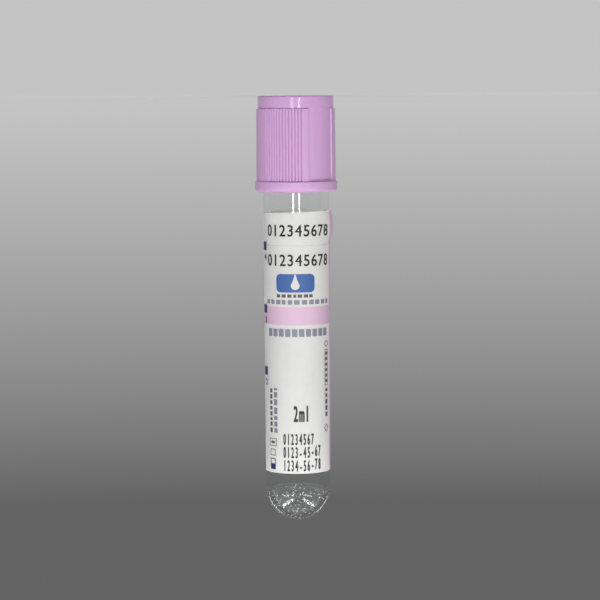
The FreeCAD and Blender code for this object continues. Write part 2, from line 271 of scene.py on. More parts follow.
def add_character(bm, character, middle, level, height, wide, heavier):
    """One character on the label's sheet, centred on a point. A figure has the height given.

    Wide is how much of its usual width it keeps, and heavier what its outline grows by.
    """
    curve = bpy.data.curves.new("lettering", "FONT")
    curve.body = character
    curve.resolution_u = 3
    holder = bpy.data.objects.new("lettering", curve)
    mesh = bpy.data.meshes.new_from_object(holder)
    glyph = bmesh.new()
    glyph.from_mesh(mesh)
    bmesh.ops.remove_doubles(glyph, verts=glyph.verts[:], dist=1e-5)
    centre = (min(v.co.x for v in glyph.verts) + max(v.co.x for v in glyph.verts)) / 2
    bmesh.ops.translate(glyph, verts=glyph.verts[:], vec=(-centre, -FIGURE_HEIGHT / 2, 0))
    scale = height / FIGURE_HEIGHT
    bmesh.ops.scale(glyph, verts=glyph.verts[:], vec=(scale * wide, scale, 1))
    embolden(glyph, heavier)
    bmesh.ops.translate(glyph, verts=glyph.verts[:], vec=(middle, level, 0))
    glyph.to_mesh(mesh)
    glyph.free()
    bm.from_mesh(mesh)
    bpy.data.objects.remove(holder)
    bpy.data.curves.remove(curve)
    bpy.data.meshes.remove(mesh)


def add_row(bm, text, left, level, pitch, height, wide, heavier):
    """A row of evenly spaced characters that starts at a left edge."""
    for n, character in enumerate(text):
        add_character(bm, character, left + (n + 0.5) * pitch, level, height, wide, heavier)


def add_dashes(bm, left, right, low, high, seed, longest, upright=False):
    """A line of plain dashes where small print stands. Longest counts in its thickness."""
    draw = random.Random(seed)
    place, end = (low, high) if upright else (left, right)
    thick = min(right - left, high - low)
    if thick <= 0:
        raise ValueError("a line of dashes has its edges the wrong way round")
    while place < end - thick * 0.5:
        length = min(thick * draw.uniform(0.9, longest), end - place)
        if upright:
            add_bar(bm, left, right, place, place + length)
        else:
            add_bar(bm, place, place + length, low, high)
        place += length + thick * draw.uniform(0.35, 0.6)


def slice_sheet(bm, step):
    """Cuts a flat sheet into upright strips, so that it can follow the tube's wall."""
    low = min(v.co.x for v in bm.verts)
    high = max(v.co.x for v in bm.verts)
    for n in range(math.ceil(low / step), math.floor(high / step) + 1):
        bmesh.ops.bisect_plane(bm, geom=bm.verts[:] + bm.edges[:] + bm.faces[:], dist=1e-6,
                               plane_co=(n * step, 0, 0), plane_no=(1, 0, 0))


def thicken(bm, low, high):
    """Gives a flat sheet its thickness, from one height above the tube's wall to another."""
    bmesh.ops.translate(bm, verts=bm.verts[:], vec=(0, 0, low))
    for face in bm.faces:
        if face.normal.z < 0:
            face.normal_flip()
    made = bmesh.ops.extrude_face_region(bm, geom=bm.faces[:])["geom"]
    top = [v for v in made if isinstance(v, bmesh.types.BMVert)]
    bmesh.ops.translate(bm, verts=top, vec=(0, 0, high - low))
    bmesh.ops.recalc_face_normals(bm, faces=bm.faces[:])


def across(angle):
    """The place across the label's flat sheet of an angle in degrees."""
    return math.radians(angle) * SHEET_RADIUS


def wrap(bm, lift=None):
    """Bends a flat sheet round the tube's wall. Lift gives how far a point stands off it."""
    tube = chosen("tube_sizes")
    end = tube["end_radius"]
    draft = (tube["rim_radius"] - end) / (tube["length"] - end)
    for v in bm.verts:
        u, level, height = v.co
        angle = u / SHEET_RADIUS
        radius = end + draft * (level - end) + height + (lift(u, level) if lift else 0.0)
        v.co = (radius * math.sin(angle), -radius * math.cos(angle), level)


def smooth_step(value, low, high):
    """0 below low, 1 above high, and an even S between them."""
    share = min(max((value - low) / (high - low), 0.0), 1.0)
    return share * share * (3 - 2 * share)


def shade(bm, sharp=32):
    """Smooths the faces and keeps the edges sharper than an angle crisp."""
    for face in bm.faces:
        face.smooth = True
    for edge in bm.edges:
        if len(edge.link_faces) == 2:
            first, second = (face.normal for face in edge.link_faces)
            edge.smooth = first.angle(second, 0) < math.radians(sharp)


def new_mesh(bm, name):
    """The mesh of what was modelled, whose bmesh is then freed."""
    mesh = bpy.data.meshes.new(name)
    bm.to_mesh(mesh)
    bm.free()
    return mesh


def new_object(name, data):
    """A new object in the scene."""
    thing = bpy.data.objects.new(name, data)
    bpy.context.scene.collection.objects.link(thing)
    return thing


def finish_piece(bm, name, material, body, slot, *nodes):
    """Stands the piece on the cap in metres, gives it to its body and hides the nodes that it
    stands for. The slot is not used.
    """
    bmesh.ops.transform(bm, matrix=STAND, verts=bm.verts[:])
    mesh = new_mesh(bm, name)
    mesh.materials.append(material)
    piece = new_object(name, mesh)
    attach(piece, body)
    if nodes:
        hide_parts(*nodes)
    return piece


# ---------- material helpers

def new_material(name):
    """A material with nodes, its node tree and its shader."""
    material = bpy.data.materials.new(name)
    material.use_nodes = True
    tree = material.node_tree
    return material, tree, tree.nodes["Principled BSDF"]


def add_node(tree, kind, settings=None, links=None):
    """Adds a node, sets its properties and sockets, and links sockets to it."""
    node = tree.nodes.new(kind)
    for key, value in (settings or {}).items():
        if isinstance(key, int) or key in node.inputs:
            node.inputs[key].default_value = value
        else:
            setattr(node, key, value)
    for key, source in (links or {}).items():
        tree.links.new(source, node.inputs[key])
    return node


def set_shader(shader, **values):
    """Sets the shader's own sockets, their names written with underscores."""
    for key, value in values.items():
        shader.inputs[key.replace("_", " ")].default_value = value


def apart(millimetres):
    """The scale of a pattern on object coordinates whose marks are so far apart."""
    return 1000.0 / millimetres


def bumped(tree, shader, height, strength, distance):
    """Puts a height pattern on the shader as bump."""
    bump = add_node(tree, "ShaderNodeBump", {"Strength": strength, "Distance": distance},
                    {"Height": height})
    tree.links.new(bump.outputs["Normal"], shader.inputs["Normal"])


# ---------- materials

def clear_polyester(colour_value):
    """PET, injection moulded: glassy and colourless, with faint flow lines along the wall."""
    material, tree, shader = new_material("clear_polyester")
    set_shader(shader, Base_Color=(*colour_value, 1), Roughness=0.015, IOR=1.57,
               Transmission_Weight=1.0)
    place = add_node(tree, "ShaderNodeTexCoord")
    # the flow lines run 40 mm along the wall and lie 1.1 mm apart round it
    squeeze = add_node(tree, "ShaderNodeMapping", {"Scale": (apart(1.1), apart(1.1), apart(40))},
                       {"Vector": place.outputs["Object"]})
    lines = add_node(tree, "ShaderNodeTexNoise", {"Scale": 1.0, "Detail": 2.0},
                     {"Vector": squeeze.outputs["Vector"]})
    bumped(tree, shader, lines.outputs["Fac"], 0.05, 0.00002)
    return material


def butyl_rubber(colour_value):
    """Halobutyl rubber, compression moulded: matt, with a fine talcy grain."""
    material, tree, shader = new_material("butyl_rubber")
    set_shader(shader, Base_Color=(*colour_value, 1), Roughness=0.72, IOR=1.52)
    place = add_node(tree, "ShaderNodeTexCoord")
    # talc grain is about 0.02 mm, and is drawn at 0.2 mm so that it shows
    grain = add_node(tree, "ShaderNodeTexNoise", {"Scale": apart(0.2), "Detail": 4.0},
                     {"Vector": place.outputs["Object"]})
    bumped(tree, shader, grain.outputs["Fac"], 0.3, 0.00003)
    return material


def moulded_polyethylene(colour_value):
    """Polyethylene, injection moulded and dyed through: waxy, with light bleeding into it."""
    material, tree, shader = new_material("moulded_polyethylene")
    set_shader(shader, Base_Color=(*colour_value, 1), Roughness=0.42, IOR=1.51,
               Subsurface_Weight=0.12, Subsurface_Radius=(1.0, 0.75, 0.95),
               Subsurface_Scale=0.0003)
    place = add_node(tree, "ShaderNodeTexCoord")
    # the mould's eroded grain is about 0.03 mm, and is drawn at 0.4 mm so that it shows
    grain = add_node(tree, "ShaderNodeTexNoise", {"Scale": apart(0.4), "Detail": 3.0},
                     {"Vector": place.outputs["Object"]})
    bumped(tree, shader, grain.outputs["Fac"], 0.03, 0.00001)
    # clouds in the gloss from uneven cooling, 6 mm apart
    clouds = add_node(tree, "ShaderNodeTexNoise", {"Scale": apart(6), "Detail": 2.0},
                      {"Vector": place.outputs["Object"]})
    parts = add_node(tree, "ShaderNodeSeparateXYZ", {}, {"Vector": place.outputs["Object"]})
    # the smooth band is polished and the grip wall is eroded and duller, and one turns into
    # the other 2.2 to 2.6 mm from the open top, which the cap stands on
    grip = add_node(tree, "ShaderNodeMapRange",
                    {"From Min": 0.0022, "From Max": 0.0026, "To Min": 0.15, "To Max": 0.38},
                    {"Value": parts.outputs["Z"]})
    sheen = add_node(tree, "ShaderNodeMath", {"operation": "MULTIPLY_ADD", 1: 0.05},
                     {0: clouds.outputs["Fac"], 2: grip.outputs["Result"]})
    tree.links.new(sheen.outputs[0], shader.inputs["Roughness"])
    return material


def coated_paper(colour_value, name="coated_paper"):
    """Label paper, clay coated and calendered: nearly smooth, with a soft fibre cloudiness."""
    material, tree, shader = new_material(name)
    place = add_node(tree, "ShaderNodeTexCoord")
    # flocs of fibre in the sheet, 1.1 mm apart
    fibres = add_node(tree, "ShaderNodeTexNoise", {"Scale": apart(1.1), "Detail": 5.0},
                      {"Vector": place.outputs["Object"]})
    pale = tuple(min(1.0, c * 1.03) for c in colour_value)
    deep = tuple(c * 0.96 for c in colour_value)
    tone = add_node(tree, "ShaderNodeMix", {"data_type": "RGBA", 6: (*deep, 1), 7: (*pale, 1)},
                    {0: fibres.outputs["Fac"]})
    tree.links.new(tone.outputs[2], shader.inputs["Base Color"])
    set_shader(shader, Roughness=0.55, IOR=1.5, Subsurface_Weight=1.0,
               Subsurface_Radius=(1.0, 1.0, 1.0), Subsurface_Scale=0.0003)
    bumped(tree, shader, fibres.outputs["Fac"], 0.15, 0.00002)
    return material


def screened(colour_value, share, paper):
    """The colour of an ink that covers a share of the paper, with the paper's tone added."""
    return tuple(share * c + paper for c in colour_value)


def printed_ink(name, colour_value):
    """Flexographic ink: a thin satin film that lets a little of the paper's tone through."""
    material, tree, shader = new_material(name)
    place = add_node(tree, "ShaderNodeTexCoord")
    # mottle in the film of ink, 0.17 mm apart
    specks = add_node(tree, "ShaderNodeTexNoise", {"Scale": apart(0.17), "Detail": 3.0},
                      {"Vector": place.outputs["Object"]})
    worn = screened(colour_value, 0.98, 0.0144)
    tone = add_node(tree, "ShaderNodeMix",
                    {"data_type": "RGBA", 6: (*colour_value, 1), 7: (*worn, 1)},
                    {0: specks.outputs["Fac"]})
    tree.links.new(tone.outputs[2], shader.inputs["Base Color"])
    set_shader(shader, Roughness=0.5, IOR=1.48)
    return material


def dried_salt(colour_value):
    """Sprayed additive, dried to small beads with a white frosty skin."""
    material, tree, shader = new_material("dried_salt")
    set_shader(shader, Base_Color=(*colour_value, 1), Roughness=0.2, IOR=1.45,
               Transmission_Weight=0.4)
    place = add_node(tree, "ShaderNodeTexCoord")
    # crystals in the crust, 0.05 mm apart
    crust = add_node(tree, "ShaderNodeTexNoise", {"Scale": apart(0.05), "Detail": 2.0},
                     {"Vector": place.outputs["Object"]})
    bumped(tree, shader, crust.outputs["Fac"], 0.3, 0.00003)
    return material


# ---------- operators: clear tube

class BuildTube(bpy.types.Operator):
    """Spins the clear tube from its half section"""
    bl_idname = "blood_tube.build_tube"
    bl_label = "Tube"

    def execute(self, context):
        tube = chosen("tube_sizes")
        end, rim, wall, length = (tube[k] for k in ("end_radius", "rim_radius", "wall", "length"))
        inner = end - wall
        rounding = 0.25         # of the rim's two edges
        bm = bmesh.new()
        add_section(bm, [
            (0, 0, 0), (end, 0, end), (end, end, 0), (rim, length, rounding),
            (rim - wall, length, rounding), (inner, end, 0), (inner, wall, inner),
            (0, wall, 0)])
        spin_section(bm, 128)
        shade(bm)
        plastic = clear_polyester(context.scene.tube_colours.tube)
        piece = finish_piece(bm, "clear_tube", plastic, "vial", "clear_tube", "tube")
        piece.visible_shadow = False    # clear plastic lets the lamps light what is inside
        return {"FINISHED"}


class BuildDroplets(bpy.types.Operator):
    """Scatters the dried droplets of additive over the inside of the round end"""
    bl_idname = "blood_tube.build_droplets"
    bl_label = "Dried droplets"

    COUNT = 270
    LOWEST, REACH = 0.08, 4.6       # the first level over the end's inside, and how far up
    SPRAYED, SPREAD = -60, 95       # degrees: where the spray met the wall, and its spread
    SMALLEST, LARGEST = 0.05, 0.13  # radius
    BLOBS, BLOB_SIZE = 0.12, 1.4    # share of droplets that ran together, and their growth
    FLATNESS = 0.5                  # height, as a share of the width
    OFF_WALL = 0.1                  # how far the middle stands off the wall, in radii

    def execute(self, context):
        tube = chosen("tube_sizes")
        end, inner = tube["end_radius"], tube["end_radius"] - tube["wall"]
        draw = random.Random(11)
        drop = self.one_droplet()
        bm = bmesh.new()
        places = []
        while len(places) < self.COUNT:
            level = tube["wall"] + self.LOWEST + self.REACH * draw.random()
            angle = math.radians(self.SPRAYED + draw.gauss(0, self.SPREAD))
            radius = draw.uniform(self.SMALLEST, self.LARGEST)
            if draw.random() < self.BLOBS:
                radius *= self.BLOB_SIZE
            fall = max(end - level, 0)
            out = Vector((math.sqrt(max(inner ** 2 - fall ** 2, 0)), 0, -fall)).normalized()
            spot = Vector((out.x * inner, 0, level if fall == 0 else end + out.z * inner))
            spin = Matrix.Rotation(angle - math.pi / 2, 4, "Z")
            spot, out = spin @ spot, spin @ out
            if any((spot - p).length < (radius + r) * 1.05 for p, r in places):
                continue
            places.append((spot, radius))
            tilt = out.to_track_quat("Z", "Y").to_matrix().to_4x4()
            flat = Matrix.Diagonal((radius, radius, radius * self.FLATNESS, 1))
            stuck = Matrix.Translation(spot - out * radius * self.OFF_WALL) @ tilt @ flat
            drop.transform(stuck)
            bm.from_mesh(drop)
            drop.transform(stuck.inverted())
        bpy.data.meshes.remove(drop)
        shade(bm, sharp=80)
        salt = dried_salt(context.scene.tube_colours.salt)
        finish_piece(bm, "dried_droplets", salt, "vial", "dried_additive", "additive_droplets")
        return {"FINISHED"}

    def one_droplet(self):
        """A small ball that each droplet is flattened from."""
        bm = bmesh.new()
        bmesh.ops.create_uvsphere(bm, u_segments=10, v_segments=6, radius=1.0)
        return new_mesh(bm, "droplet")


# ---------- operators: closure

class BuildStopper(bpy.types.Operator):
    """Spins the rubber stopper from its half section"""
    bl_idname = "blood_tube.build_stopper"
    bl_label = "Rubber stopper"

    PLUG_DEPTH = 8.5
    CORE, CROWN = 4.975, 5.225          # radius of the plug, and over its sealing ribs
    RIB_DROPS = 6.58, 3.95, 1.32        # how far the ribs lie under the tube's rim
    RIB_FOOT, RIB_CREST = 0.45, 0.12    # half widths of a rib
    UNDER_WELL = 3.4                    # depth of the well in the plug's foot
    FLANGE, HEAD = 6.3, 5.7             # radius
    HEAD_TOP, WELL_FLOOR = 3.5, 2.35    # above the tube's rim

    def execute(self, context):
        core, rim = self.CORE, chosen("tube_sizes")["length"]
        foot = rim - self.PLUG_DEPTH
        flange_top, neck_top, head_top = rim + FLANGE_TOP, rim + NECK_TOP, rim + self.HEAD_TOP
        ribs = []
        for level in (rim - drop for drop in self.RIB_DROPS):
            ribs += [(core, level - self.RIB_FOOT, 0.1),
                     (self.CROWN, level - self.RIB_CREST, 0.12),
                     (self.CROWN, level + self.RIB_CREST, 0.12),
                     (core, level + self.RIB_FOOT, 0.1)]
        bm = bmesh.new()
        add_section(bm, [
            (0, foot + self.UNDER_WELL, 0), (2.4, foot + self.UNDER_WELL, 0.3),
            (3.1, foot, 0.25), (core - 0.6, foot, 0.2), (core, foot + 0.6, 0.2), *ribs,
            (core, rim, 0), (self.FLANGE, rim, 0.15), (self.FLANGE, flange_top, 0.15),
            (NECK_RADIUS, flange_top, 0), (NECK_RADIUS, neck_top, 0),
            (self.HEAD, neck_top, 0.1), (self.HEAD, head_top, 0.3), (2.6, head_top, 0.4),
            (0.35, rim + self.WELL_FLOOR, 0.3), (0, rim + self.WELL_FLOOR, 0)])
        spin_section(bm, 96)
        shade(bm)
        finish_piece(bm, "stopper", butyl_rubber(context.scene.tube_colours.stopper),
                     "closure", "stopper_rubber", "rubber_stopper")
        return {"FINISHED"}


class BuildCap(bpy.types.Operator):
    """Spins the cap and presses its windows and grooves into the grip wall"""
    bl_idname = "blood_tube.build_cap"
    bl_label = "Safety cap"

    WINDOW = 46.0          # degrees that each smooth window takes up
    PANEL_RIGHT = 19.0     # right edge of the front panel, in degrees
    RIBS_RIGHT = 21 * 360 / CAP_STEPS   # its rightmost groove, on a whole step like the rest
    GROOVES = 13
    GROOVE_SHARE = 0.45    # half of a groove's width, against half of the pitch
    EDGE = 0.45            # half of the degrees that a panel's side slopes over
    BAND_FLARE = 0.03      # growth of the band's radius up to the top
    WALL_OUT = 0.012       # how far the plain wall stands out from the band
    WALL_FLARE = 0.068     # and what it grows by down to the foot
    BEVEL = 0.3            # of the skirt's mouth
    RING_GAP = 0.1         # between the retaining ring and the stopper's neck
    ROWS = 6               # of faces down the grip wall

    def execute(self, context):
        rim, cap = chosen("tube_sizes")["length"], chosen("cap_sizes")
        top = rim + cap["rise"]
        foot, foot_top = cap["foot_level"], cap["foot_level"] + cap["foot_height"]
        band, bore, ring = cap["band_radius"], cap["bore_radius"], NECK_RADIUS + self.RING_GAP
        wall = band + self.WALL_OUT + cap["panel_rise"]
        band_level = top - cap["band_height"]
        bm = bmesh.new()
        add_section(bm, [
            (cap["recess_radius"], rim + NECK_TOP, 0.15), (cap["recess_radius"], top, 0.25),
            (band + self.BAND_FLARE, top, 0.3), (band, band_level, 0.0),
            (wall, band_level, 0.09), (wall + self.WALL_FLARE, foot_top, 0.0),
            (cap["foot_radius"], foot_top, 0.12), (cap["foot_radius"], foot, 1.0),
            (bore + self.BEVEL, foot, 0.1), (bore, foot + self.BEVEL, 0.1),
            (bore, rim + FLANGE_TOP, 0.1), (ring, rim + FLANGE_TOP, 0.1),
            (ring, rim + NECK_TOP, 0.1)])
        for n in range(1, self.ROWS):
            cut_level(bm, foot_top + (band_level - foot_top) * n / self.ROWS)
        spin_finely(bm, CAP_STEPS)
        self.press_panels(bm, cap, band_level, foot_top)
        join_up(bm)
        shade(bm, sharp=40)
        finish_piece(bm, "ribbed_cap", moulded_polyethylene(context.scene.tube_colours.cap),
                     "closure", "cap_plastic", "safety_cap")
        return {"FINISHED"}

    def press_panels(self, bm, cap, band_level, foot_top):
        """Moves the grip wall in: to the plain wall in the windows, and into each groove."""
        for v in bm.verts:
            level = v.co.z
            if not foot_top - 1e-4 <= level <= band_level + 1e-4:
                continue
            radius = v.co.xy.length
            share = (band_level - level) / (band_level - foot_top)
            plain = cap["band_radius"] + self.WALL_OUT + self.WALL_FLARE * share
            stands_out = radius - plain
            if stands_out < 1e-4 or radius > plain + cap["panel_rise"] + 1e-3:
                continue
            angle = math.degrees(math.atan2(v.co.x, -v.co.y))
            kept = self.panel_share(angle, cap)
            scale = (plain + stands_out * kept) / radius
            v.co.x *= scale
            v.co.y *= scale

    def panel_share(self, angle, cap):
        """How much of the panel's rise is left at an angle."""
        half_turn = 180.0       # from one panel to the other
        local = (angle - self.PANEL_RIGHT) % half_turn - half_turn   # from -180 up to 0
        width = half_turn - self.WINDOW
        edge = min(-local, local + width)                        # degrees inside the panel
        side = smooth_step(edge, -self.EDGE, self.EDGE)
        pitch = math.degrees(cap["groove_pitch"])
        first = self.RIBS_RIGHT - self.PANEL_RIGHT
        n = round((first - local) / pitch)
        n = min(max(n, 0), self.GROOVES - 1)
        away = abs(local - (first - n * pitch)) / (pitch / 2)
        depth = cap["groove_depth"] / cap["panel_rise"]
        return side * (1 - depth * (1 - smooth_step(away, 0.0, self.GROOVE_SHARE)))


# ---------- operators: label

def left_end(label):
    """The label's left edge on its flat sheet."""
    return label["left"] * SHEET_RADIUS


def right_end(label):
    """The label's right edge on its flat sheet."""
    return label["right"] * SHEET_RADIUS


def tail_lift(label):
    """The sticker's loose end, which has come unstuck but still clings along its foot."""
    stuck, free, farthest = across(50), across(105), 0.66
    cut, top = label["sticker_bottom"], label["top"]

    def lift(u, level):
        out = smooth_step(u, stuck, free)
        foot = smooth_step(level, cut, cut + 2.4)
        head = 1 - 0.6 * smooth_step(level, top - 1.5, top)
        return farthest * out * foot * head
    return lift


class BuildLabel(bpy.types.Operator):
    """Wraps the long part of the paper label round the tube"""
    bl_idname = "blood_tube.build_label"
    bl_label = "Label"

    def execute(self, context):
        label = chosen("label_sizes")
        bm = bmesh.new()
        add_bar(bm, left_end(label), right_end(label), label["bottom"],
                label["sticker_bottom"] - CUT_WIDTH)
        slice_sheet(bm, STRIP)
        thicken(bm, label["glue"], label["glue"] + label["paper"])
        wrap(bm)
        shade(bm)
        finish_piece(bm, "paper_label", coated_paper(context.scene.tube_colours.paper), "vial",
                     "label_paper", "label")
        return {"FINISHED"}


def corner_fall(label, u):
    """How far the loose end's rounded corner has fallen away from the sticker's edge."""
    into_corner = max(u - (right_end(label) - TAIL_CORNER), 0.0)
    return TAIL_CORNER - math.sqrt(max(TAIL_CORNER ** 2 - into_corner ** 2, 0))


def top_edge(label, u):
    """Level of the sticker's upper edge, cut a little askew and rounded at its end."""
    askew = math.tan(math.radians(1.6))
    slant = math.sin(u / SHEET_RADIUS) * SHEET_RADIUS * askew
    return label["top"] + slant - corner_fall(label, u)


def sticker_sheet(label, left):
    """A flat sheet of the sticker from a left edge to its loose end."""
    bm = bmesh.new()
    low, right = label["sticker_bottom"], right_end(label)
    columns, rows = int((right - left) / 0.2), 16
    made = bmesh.ops.create_grid(bm, x_segments=columns, y_segments=rows, size=0.5)["verts"]
    bmesh.ops.scale(bm, verts=made, vec=(right - left, 1, 1))
    bmesh.ops.translate(bm, verts=made, vec=((left + right) / 2, 0.5, 0))
    for v in bm.verts:
        bottom = low + corner_fall(label, v.co.x) * 0.6     # the lower corner is rounded less
        v.co.y = bottom + v.co.y * (top_edge(label, v.co.x) - bottom)
    return bm


class BuildSticker(bpy.types.Operator):
    """Wraps the peel-off sticker round the tube and lifts its loose end"""
    bl_idname = "blood_tube.build_sticker"
    bl_label = "Peel-off sticker"

    def execute(self, context):
        label = chosen("label_sizes")
        bm = sticker_sheet(label, left_end(label))
        thicken(bm, label["glue"], label["glue"] + label["paper"])
        wrap(bm, tail_lift(label))
        shade(bm)
        paper = coated_paper(context.scene.tube_colours.paper, "sticker_paper")
        finish_piece(bm, "loose_sticker", paper, "vial", "sticker_paper", "peel_off_sticker")
        return {"FINISHED"}


# ---------- operators: print

def finish_print(bm, name, material, slot, *nodes, strip=FINE_STRIP, lift=None, over=0.0):
    """Gives flat print its thickness on the paper, wraps it and finishes the piece."""
    label = chosen("label_sizes")
    face = label["glue"] + label["paper"] + over
    if strip:
        slice_sheet(bm, strip)
    thicken(bm, face + INK_GAP, face + INK_TOP)
    wrap(bm, lift)
    shade(bm)
    return finish_piece(bm, name, material, "vial", slot, *nodes)


class BuildPinkPrint(bpy.types.Operator):
    """Prints the pink band and the pink border down the label's right edge"""
    bl_idname = "blood_tube.build_pink_print"
    bl_label = "Pink print"

    def execute(self, context):
        label = chosen("label_sizes")
        pink = printed_ink("pink_ink", context.scene.tube_colours.pink)
        low, high, cut = label["band_bottom"], label["band_top"], label["sticker_bottom"]
        edge = right_end(label)
        left, right = edge - label["border"], edge - 0.02
        bm = bmesh.new()
        add_bar(bm, left_end(label), right, low, high)
        add_bar(bm, left, right, label["bottom"], low)
        add_bar(bm, left, right, high, cut - CUT_WIDTH)
        band = finish_print(bm, "pink_band_and_border", pink, "pink_ink", "pink_print",
                            strip=STRIP)
        bm = sticker_sheet(label, edge - label["sticker_border"])
        border = finish_print(bm, "pink_border_on_sticker", pink, "pink_ink", strip=None,
                              lift=tail_lift(label))
        for piece in (band, border):        # so thin an ink lets light into the paper
            piece.visible_shadow = False
        return {"FINISHED"}


class BuildBluePrint(bpy.types.Operator):
    """Prints the plain emblem, a rounded field with a drop left bare in it"""
    bl_idname = "blood_tube.build_blue_print"
    bl_label = "Emblem"

    def execute(self, context):
        middle, level = across(-2.8), 47.28
        across_half, up_half, corner = 3.86, 1.785, 0.9
        drop_level, drop_radius, point = level - 0.45, 0.85, 1.5
        bm = bmesh.new()
        add_bar(bm, middle - across_half, middle + across_half, level - up_half,
                level + up_half, rounding=corner, segments=8)
        bmesh.ops.delete(bm, geom=bm.faces[:], context="FACES_ONLY")
        drop = bmesh.ops.create_circle(bm, radius=drop_radius, segments=36,
                                       matrix=Matrix.Translation((middle, drop_level, 0)))
        for v in drop["verts"]:         # draws the circle's upper half out to a point
            height = (v.co.y - drop_level) / drop_radius
            if height > 0:
                v.co.y += point * height ** 6
                v.co.x = middle + (v.co.x - middle) * (1 - 0.35 * height ** 2)
        bmesh.ops.triangle_fill(bm, use_beauty=True, use_dissolve=False, edges=bm.edges[:])
        blue = printed_ink("blue_ink", context.scene.tube_colours.blue)
        finish_print(bm, "emblem", blue, "blue_ink", "blue_print", strip=STRIP)
        return {"FINISHED"}


class BuildScale(bpy.types.Operator):
    """Prints the filling scale and the other navy print"""
    bl_idname = "blood_tube.build_scale"
    bl_label = "Filling scale"

    def execute(self, context):
        colours = context.scene.tube_colours
        navy = printed_ink("navy_ink", colours.navy)
        right, mark = across(-64), 1.65
        bm = bmesh.new()
        for top, figure in ((55.2, "4"), (42.9, "3"), (30.7, "2")):
            add_bar(bm, right - mark, right, top - mark, top, rounding=0.08)
            add_character(bm, figure, across(-68.5), top - 2.95, 1.15, 1.1, 0.05)
        finish_print(bm, "filling_scale", navy, "navy_ink", "scale_marks", over=0.03)
        tint = printed_ink("screened_navy_ink", screened(colours.navy, 0.6, 0.22))
        blocks, pitch, half = 10, 1.354, 0.53
        bm = bmesh.new()
        for n in range(blocks):
            middle = across(1.75) + (n - (blocks - 1) / 2) * pitch
            add_bar(bm, middle - half, middle + half, 36.85, 38.35, rounding=0.15)
        add_dashes(bm, across(-62), across(66), 43.15, 44.0, seed=3, longest=1.3)
        add_dashes(bm, across(-46), across(-38.5), 17.9, 26.7, seed=4, longest=1.6, upright=True)
        finish_print(bm, "screened_small_print", tint, "navy_ink")
        return {"FINISHED"}


class BuildSmallPrint(bpy.types.Operator):
    """Prints the plain dashes and boxes that stand in for small print"""
    bl_idname = "blood_tube.build_small_print"
    bl_label = "Small print"

    def execute(self, context):
        colours = context.scene.tube_colours
        grey = printed_ink("screened_black_ink", screened(colours.black, 0.7, 0.08))
        bm = bmesh.new()
        add_dashes(bm, across(-37), across(33), 44.5, 45.1, seed=5, longest=1.5)
        left, right = across(-56.5), across(-43.5)
        add_dashes(bm, left, across(-50.5), 17.9, 26.7, seed=6, longest=1.5, upright=True)
        add_dashes(bm, across(58), across(65.5), 20.9, 26.4, seed=7, longest=1.3, upright=True)
        add_ring(bm, across(61.5), 35.2, 0.62, 0.16)
        add_ring(bm, across(61), 18.6, 0.85, 0.16, sides=4)
        add_frame(bm, across(56.5), across(66.5), 27.0, 34.1, 0.13)
        for n in range(6):
            add_bar(bm, across(58.5), across(64.5), 27.6 + n * 1.08, 28.2 + n * 1.08)
        add_frame(bm, across(-58.5), across(-40.5), 15.25, 16.75, 0.12)
        add_bar(bm, across(-54), across(-45), 15.75, 16.25)
        add_frame(bm, left, right, 13.35, 14.65, 0.12)
        finish_print(bm, "grey_small_print", grey, "black_ink")
        blue = printed_ink("icon_blue_ink", colours.navy)
        bm = bmesh.new()
        add_frame(bm, left, right, 11.6, 12.8, 0.17)
        add_bar(bm, left, right, 10.65, 11.6)
        finish_print(bm, "blue_icon", blue, "navy_ink")
        return {"FINISHED"}


class BuildNumbers(bpy.types.Operator):
    """Prints the plain number rows and the filling volume"""
    bl_idname = "blood_tube.build_numbers"
    bl_label = "Number rows"

    SERIAL = "012345678"
    SERIAL_TYPE = {"pitch": 1.57, "height": 2.2, "wide": 0.88, "heavier": 0.045}
    DATE_TYPE = {"pitch": 0.80, "height": 2.1, "wide": 0.34}

    def execute(self, context):
        black = printed_ink("black_ink", context.scene.tube_colours.black)
        left = across(3.4) - len(self.SERIAL) / 2 * self.SERIAL_TYPE["pitch"]
        start = across(-26.6) - 0.11
        bm = bmesh.new()
        add_row(bm, self.SERIAL, left, 51.75, **self.SERIAL_TYPE)
        for level, text in ((16.77, "01234567"), (14.19, "0123-45"), (11.58, "1234-56")):
            add_row(bm, text, start, level, **self.DATE_TYPE, heavier=0.055)
        # the dates' last figures stand a little higher and are bolder
        after = start + 7 * self.DATE_TYPE["pitch"]
        for level, text in ((14.39, "-67"), (11.78, "-78")):
            add_row(bm, text, after, level, **self.DATE_TYPE, heavier=0.065)
        for character, middle, wide in (("2", -3.4, 0.38), ("m", 7.2, 0.32), ("l", 17.0, 0.4)):
            add_character(bm, character, across(middle), 21.8, 3.05, wide, 0.08)
        finish_print(bm, "number_rows", black, "black_ink", "black_print")
        bm = bmesh.new()
        add_row(bm, self.SERIAL, left, 57.5, **self.SERIAL_TYPE)
        finish_print(bm, "sticker_number_row", black, "black_ink",
                     lift=tail_lift(chosen("label_sizes")))
        return {"FINISHED"}


# ---------- operators: stage

